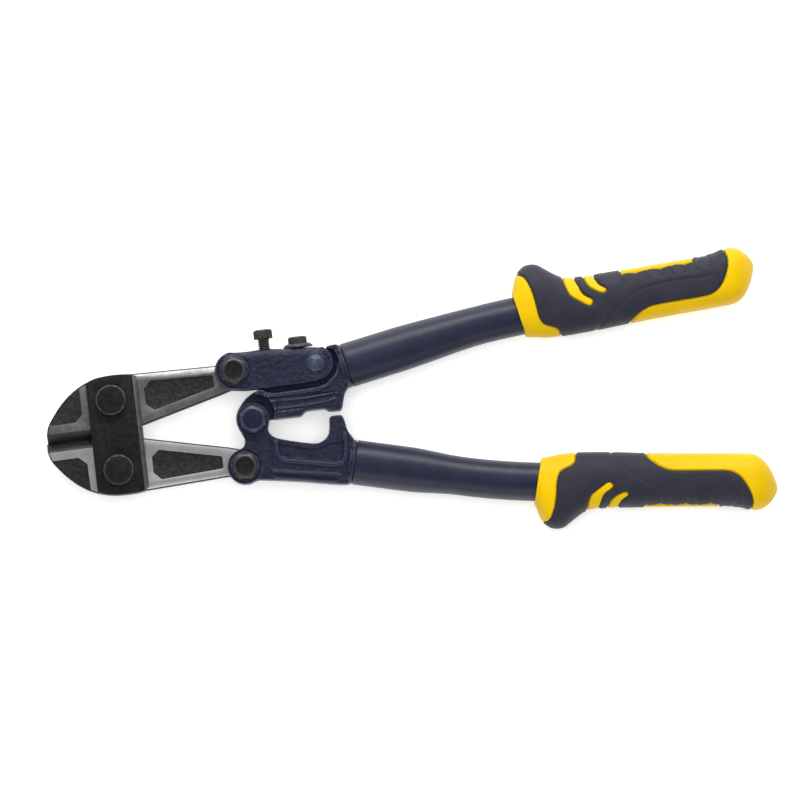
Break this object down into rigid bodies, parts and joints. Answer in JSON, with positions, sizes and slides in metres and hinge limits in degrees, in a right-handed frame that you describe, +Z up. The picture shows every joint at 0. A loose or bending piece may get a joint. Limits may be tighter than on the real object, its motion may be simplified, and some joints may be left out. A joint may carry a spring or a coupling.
{
  "type": "bolt cutters",
  "caption": "Compound-action bolt cutters: cutting jaws between side plates, driven by a toggle of lever castings, with tube handles and moulded two-part grips.",
  "frame": {"origin": "middle of the tool's box, on the surface that it lies on", "axes": "+X along the tool from the jaws to the grips, +Y across the tool to the lever with the adjusting arm, +Z up through the pivots"},
  "size_m": [0.3096, 0.1157, 0.022],
  "materials": {
    "ground_steel": "ground",
    "black_oxide": "black oxide, satin",
    "navy_paint": "textured paint, satin",
    "yellow_shell": "moulded, semi-gloss",
    "navy_sleeve": "moulded soft grip, matt"
  },
  "bodies": {
    "head": {"front_side_plate": "black_oxide", "rear_side_plate": "black_oxide", "upper_jaw_bolt": "black_oxide", "lower_jaw_bolt": "black_oxide", "upper_jaw_nut": "black_oxide", "lower_jaw_nut": "black_oxide"},
    "upper_jaw": {"upper_jaw": "ground_steel"},
    "lower_jaw": {"lower_jaw": "ground_steel"},
    "adjusting_arm": {"adjusting_arm": "navy_paint", "upper_link_bolt": "black_oxide", "upper_link_nut": "black_oxide"},
    "adjusting_screw": {"adjusting_screw": "black_oxide"},
    "upper_handle": {"upper_lever": "navy_paint", "arm_rivet": "navy_paint", "upper_tube": "navy_paint", "upper_grip_shell": "yellow_shell", "upper_grip_sleeve": "navy_sleeve"},
    "lock_bolt": {"lock_bolt": "black_oxide", "lock_washer": "black_oxide"},
    "lower_handle": {"lower_lever": "navy_paint", "lower_link_bolt": "black_oxide", "lower_link_nut": "black_oxide", "centre_bolt": "navy_paint", "centre_nut": "navy_paint", "lower_tube": "navy_paint", "lower_grip_shell": "yellow_shell", "lower_grip_sleeve": "navy_sleeve"}
  },
  "joints": [
    {"name": "upper_link_pivot", "type": "hinge", "parent": "upper_jaw", "child": "adjusting_arm", "pos_m": [-0.07171, 0.0265, 0.011], "axis": [0, 0, 1], "range_deg": [0, 48.79]},
    {"name": "upper_jaw_pivot", "type": "hinge", "parent": "head", "child": "upper_jaw", "pos_m": [-0.1253, 0.0199, 0.011], "axis": [0, 0, 1], "range_deg": [-10.01, 0]},
    {"name": "lower_jaw_pivot", "type": "hinge", "parent": "head", "child": "lower_jaw", "pos_m": [-0.1253, -0.0101, 0.011], "axis": [0, 0, 1], "range_deg": [0, 10.01]},
    {"name": "lower_link_pivot", "type": "hinge", "parent": "lower_jaw", "child": "lower_handle", "pos_m": [-0.0715, -0.01469, 0.011], "axis": [0, 0, 1], "range_deg": [-57.31, 0]},
    {"name": "arm_adjust", "type": "hinge", "parent": "adjusting_arm", "child": "upper_handle", "pos_m": [-0.0366, 0.0259, 0.011], "axis": [0, 0, 1], "range_deg": [0, 1.2]},
    {"name": "adjusting_screw_turn", "type": "hinge", "parent": "adjusting_arm", "child": "adjusting_screw", "pos_m": [-0.0577, 0.0349, 0.011], "axis": [0, 1, 0], "range_deg": [-180, 180]},
    {"name": "lock_bolt_turn", "type": "hinge", "parent": "upper_handle", "child": "lock_bolt", "pos_m": [-0.0433, 0.0349, 0.011], "axis": [0, 1, 0], "range_deg": [-180, 0]}
  ],
  "couplings": [
    {"joint": "upper_jaw_pivot", "follows": "upper_link_pivot", "ratio": -0.20496},
    {"joint": "lower_jaw_pivot", "follows": "upper_link_pivot", "ratio": 0.20496},
    {"joint": "lower_link_pivot", "follows": "upper_link_pivot", "ratio": -1.1744}
  ]
}
